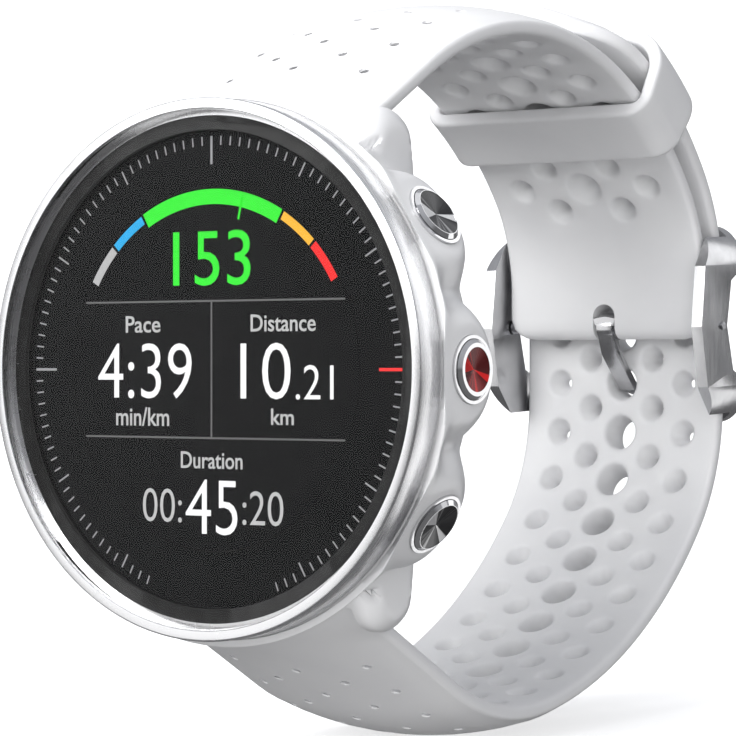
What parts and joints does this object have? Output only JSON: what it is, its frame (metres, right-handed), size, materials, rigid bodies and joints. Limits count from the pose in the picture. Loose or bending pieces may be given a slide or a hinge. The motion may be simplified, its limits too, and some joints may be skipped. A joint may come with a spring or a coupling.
{
  "type": "gps running watch",
  "caption": "Round sports watch with a metal bezel, side buttons, a digital dial and a perforated silicone strap buckled in a loop.",
  "frame": {"origin": "centre of the flat face of the pulse sensor's window on the back of the case", "axes": "+Y out of the back of the case into the wrist, +Z to 12 o'clock, +X to 3 o'clock; the dial faces -Y"},
  "size_m": [0.0476, 0.076, 0.0706],
  "materials": {
    "white_case": "gloss",
    "brushed_bezel": "brushed",
    "cover_glass": "polished",
    "black_gasket": "matte",
    "dial_print": "matte",
    "display_face": "gloss",
    "flex_film": "satin",
    "frame_plastic": "matte",
    "circuit_board": "satin",
    "chip_plastic": "matte",
    "battery_foil": "satin",
    "antenna_gold": "satin",
    "motor_steel": "satin",
    "rear_plastic": "satin",
    "screw_steel": "satin",
    "sensor_glass": "polished",
    "led_lens": "gloss",
    "contact_gold": "polished",
    "polished_steel": "polished",
    "switch_plastic": "matte",
    "red_insert": "anodised",
    "sunray_steel": "sunray",
    "spring_steel": "satin",
    "strap_silicone": "matte",
    "keeper_silicone": "matte",
    "buckle_steel": "polished",
    "bar_steel": "satin"
  },
  "bodies": {
    "watch": {"case_body": "white_case", "bezel": "brushed_bezel", "lens": "cover_glass", "lens_gasket": "black_gasket", "dial_ring": "dial_print", "display_module": "display_face", "display_flex": "flex_film", "inner_frame": "frame_plastic", "main_board": "circuit_board", "board_components": "chip_plastic", "battery": "battery_foil", "gps_antenna": "antenna_gold", "vibration_motor": "motor_steel", "rear_cover": "rear_plastic", "rear_gasket": "black_gasket", "rear_screws": "screw_steel", "sensor_window": "sensor_glass", "sensor_board": "circuit_board", "sensor_leds": "led_lens", "charge_contacts": "contact_gold", "button_collars": "polished_steel", "button_seals": "black_gasket", "button_switches": "switch_plastic", "up_button_spring": "spring_steel", "ok_button_spring": "spring_steel", "down_button_spring": "spring_steel", "light_button_spring": "spring_steel", "back_button_spring": "spring_steel", "upper_strap": "strap_silicone", "lower_strap": "strap_silicone", "upper_bar_tube": "bar_steel", "upper_bar_spring": "spring_steel", "lower_bar_tube": "bar_steel", "lower_bar_spring": "spring_steel", "buckle_bar_tube": "bar_steel", "buckle_bar_spring": "spring_steel"},
    "up_button": {"up_button_cap": "polished_steel", "up_button_insert": "sunray_steel", "up_button_clip": "spring_steel"},
    "ok_button": {"ok_button_cap": "polished_steel", "ok_button_insert": "red_insert", "ok_button_clip": "spring_steel"},
    "down_button": {"down_button_cap": "polished_steel", "down_button_insert": "sunray_steel", "down_button_clip": "spring_steel"},
    "light_button": {"light_button_cap": "polished_steel", "light_button_insert": "sunray_steel", "light_button_clip": "spring_steel"},
    "back_button": {"back_button_cap": "polished_steel", "back_button_insert": "sunray_steel", "back_button_clip": "spring_steel"},
    "upper_bar_right": {"upper_bar_tip_right": "bar_steel"},
    "upper_bar_left": {"upper_bar_tip_left": "bar_steel"},
    "lower_bar_right": {"lower_bar_tip_right": "bar_steel"},
    "lower_bar_left": {"lower_bar_tip_left": "bar_steel"},
    "buckle_bar_right": {"buckle_bar_tip_right": "bar_steel"},
    "buckle_bar_left": {"buckle_bar_tip_left": "bar_steel"},
    "keeper": {"keeper": "keeper_silicone"},
    "buckle_frame": {"buckle_frame": "buckle_steel"},
    "buckle_tongue": {"buckle_tongue": "buckle_steel"}
  },
  "joints": [
    {"name": "up_button_press", "type": "slide", "parent": "watch", "child": "up_button", "axis": [-0.8434, 0, -0.5373], "range_m": [0, 0.0005], "stiffness_N_per_m": 400, "springref_m": -0.0006, "deforming": ["up_button_spring"]},
    {"name": "ok_button_press", "type": "slide", "parent": "watch", "child": "ok_button", "axis": [-1, 0, 0], "range_m": [0, 0.0005], "stiffness_N_per_m": 400, "springref_m": -0.0006, "deforming": ["ok_button_spring"]},
    {"name": "down_button_press", "type": "slide", "parent": "watch", "child": "down_button", "axis": [-0.8434, 0, 0.5373], "range_m": [0, 0.0005], "stiffness_N_per_m": 400, "springref_m": -0.0006, "deforming": ["down_button_spring"]},
    {"name": "light_button_press", "type": "slide", "parent": "watch", "child": "light_button", "axis": [0.8434, 0, -0.5373], "range_m": [0, 0.0005], "stiffness_N_per_m": 400, "springref_m": -0.0006, "deforming": ["light_button_spring"]},
    {"name": "back_button_press", "type": "slide", "parent": "watch", "child": "back_button", "axis": [0.8434, 0, 0.5373], "range_m": [0, 0.0005], "stiffness_N_per_m": 400, "springref_m": -0.0006, "deforming": ["back_button_spring"]},
    {"name": "upper_bar_right_retract", "type": "slide", "parent": "watch", "child": "upper_bar_right", "axis": [-1, 0, 0], "range_m": [0, 0.0012], "stiffness_N_per_m": 400, "springref_m": -0.0008, "deforming": ["upper_bar_spring"]},
    {"name": "upper_bar_left_retract", "type": "slide", "parent": "watch", "child": "upper_bar_left", "axis": [1, 0, 0], "range_m": [0, 0.0012], "stiffness_N_per_m": 400, "springref_m": -0.0008, "deforming": ["upper_bar_spring"]},
    {"name": "lower_bar_right_retract", "type": "slide", "parent": "watch", "child": "lower_bar_right", "axis": [-1, 0, 0], "range_m": [0, 0.0012], "stiffness_N_per_m": 400, "springref_m": -0.0008, "deforming": ["lower_bar_spring"]},
    {"name": "lower_bar_left_retract", "type": "slide", "parent": "watch", "child": "lower_bar_left", "axis": [1, 0, 0], "range_m": [0, 0.0012], "stiffness_N_per_m": 400, "springref_m": -0.0008, "deforming": ["lower_bar_spring"]},
    {"name": "buckle_bar_right_retract", "type": "slide", "parent": "watch", "child": "buckle_bar_right", "axis": [-1, 0, 0], "range_m": [0, 0.0012], "stiffness_N_per_m": 400, "springref_m": -0.0008, "deforming": ["buckle_bar_spring"]},
    {"name": "buckle_bar_left_retract", "type": "slide", "parent": "watch", "child": "buckle_bar_left", "axis": [1, 0, 0], "range_m": [0, 0.0012], "stiffness_N_per_m": 400, "springref_m": -0.0008, "deforming": ["buckle_bar_spring"]},
    {"name": "keeper_slide", "type": "hinge", "parent": "watch", "child": "keeper", "pos_m": [0, 0.02422, -0.0034], "axis": [1, 0, 0], "range_deg": [-8, 14]},
    {"name": "buckle_frame_pivot", "type": "hinge", "parent": "watch", "child": "buckle_frame", "pos_m": [0, 0.05599, 0.00441], "axis": [1, 0, 0], "range_deg": [-2, 2]},
    {"name": "buckle_tongue_pivot", "type": "hinge", "parent": "watch", "child": "buckle_tongue", "pos_m": [0, 0.05599, 0.00441], "axis": [1, 0, 0], "range_deg": [0, 2]}
  ]
}
